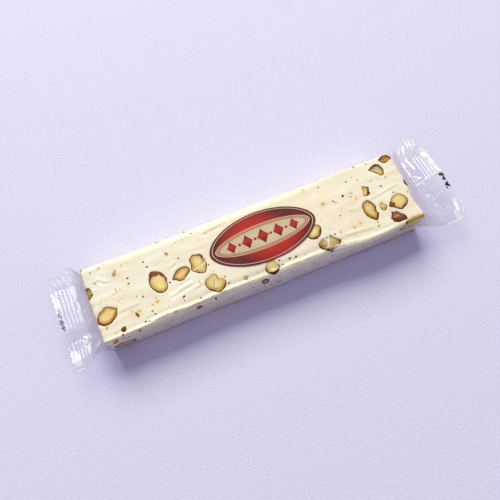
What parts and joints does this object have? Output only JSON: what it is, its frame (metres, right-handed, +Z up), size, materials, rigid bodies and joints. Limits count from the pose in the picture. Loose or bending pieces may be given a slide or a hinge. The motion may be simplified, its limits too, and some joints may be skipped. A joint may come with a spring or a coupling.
{
  "type": "nougat bar",
  "caption": "Block of pale nougat with almonds cut through, in clear flow-wrap film with crimped zig-zag ends and a plain oval label, lying flat.",
  "frame": {"origin": "middle of the nougat block's flat underside, on the surface that the bar lies on", "axes": "+X along the bar towards its longer film end, +Y across it, +Z up"},
  "size_m": [0.1888, 0.0484, 0.0179],
  "materials": {
    "nougat": "soft, waxy off-white nougat with small air pits and flecks",
    "almond_flesh": "dry cut almond flesh, pale amber, darker towards the skin",
    "almond_skin": "thin wrinkled brown almond skin",
    "clear_film": "clear glossy packaging film, wrinkled, crimped at its ends",
    "print_red": "red ink on film, darker towards its rim",
    "print_cream": "cream ink on film",
    "print_black": "black ink on film"
  },
  "bodies": {
    "root": {"almond_01": "almond_flesh", "almond_02": "almond_flesh", "almond_03": "almond_flesh", "almond_04": "almond_flesh", "almond_05": "almond_flesh", "almond_06": "almond_flesh", "almond_07": "almond_flesh", "almond_08": "almond_flesh", "almond_09": "almond_flesh", "almond_10": "almond_flesh", "almond_11": "almond_flesh", "almond_12": "almond_skin", "almond_13": "almond_flesh", "almond_14": "almond_skin", "almond_15": "almond_flesh", "almond_16": "almond_flesh", "almond_17": "almond_skin", "almond_18": "almond_skin", "almond_19": "almond_flesh", "almond_20": "almond_flesh", "almond_21": "almond_flesh", "almond_22": "almond_flesh", "almond_23": "almond_flesh", "almond_24": "almond_flesh", "almond_25": "almond_flesh", "almond_26": "almond_flesh", "almond_27": "almond_flesh", "almond_28": "almond_flesh", "almond_29": "almond_flesh", "almond_30": "almond_flesh", "almond_31": "almond_flesh", "almond_32": "almond_flesh", "edge_mark_left": "print_black", "edge_mark_right": "print_black", "film_back_seal": "clear_film", "film_end_left": "clear_film", "film_end_right": "clear_film", "label_field": "print_red", "label_panel": "print_cream", "nougat": "nougat"}
  },
  "joints": []
}
